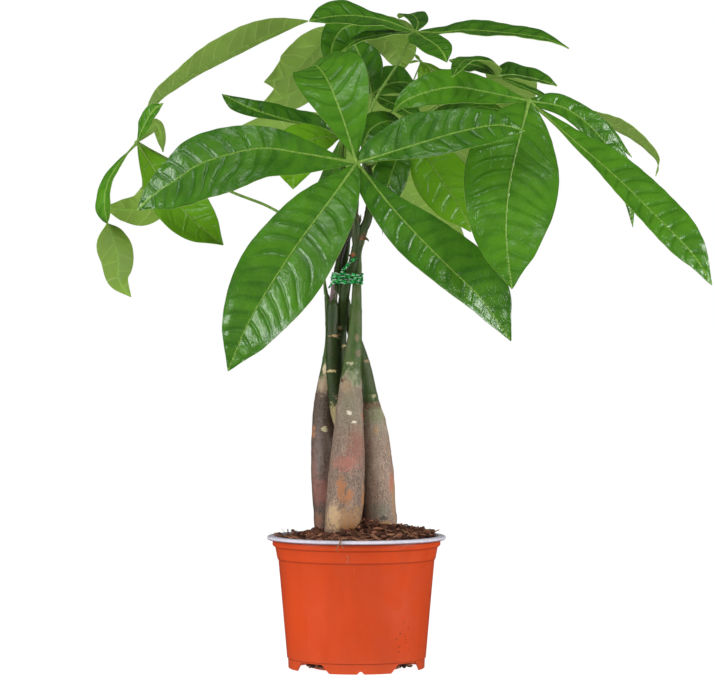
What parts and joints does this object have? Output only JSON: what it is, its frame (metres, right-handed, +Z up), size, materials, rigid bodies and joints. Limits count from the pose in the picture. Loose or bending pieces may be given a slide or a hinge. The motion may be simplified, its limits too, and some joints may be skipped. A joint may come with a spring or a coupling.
{
  "type": "potted money tree",
  "caption": "Small potted money tree: twisted barked trunks tied with foil and a crown of long palmate leaves, in a round two-tone plastic pot.",
  "frame": {"origin": "middle of the pot's underside, on the pot's axis", "axes": "+Z up along the pot's axis; the plant's front, the side seen in the picture, faces -Y"},
  "size_m": [0.4083, 0.3268, 0.4552],
  "materials": {
    "pot": "satin",
    "soil": "matte",
    "bark": "matte",
    "foil": "polished",
    "leaf": "gloss"
  },
  "bodies": {
    "root": {"pot": "pot", "soil": "soil", "trunk_front": "bark", "trunk_left": "bark", "trunk_front_left": "bark", "trunk_middle": "bark", "trunk_right": "bark", "tie": "foil", "leaf_front": "leaf", "leaf_right": "leaf", "leaf_top": "leaf", "leaf_left": "leaf", "leaf_inner_left": "leaf", "leaf_upper_left": "leaf", "leaf_inner_right": "leaf", "leaf_middle": "leaf", "leaf_upper_right": "leaf", "leaf_young": "leaf", "leaf_back": "leaf", "leaf_back_right": "leaf"}
  },
  "joints": []
}
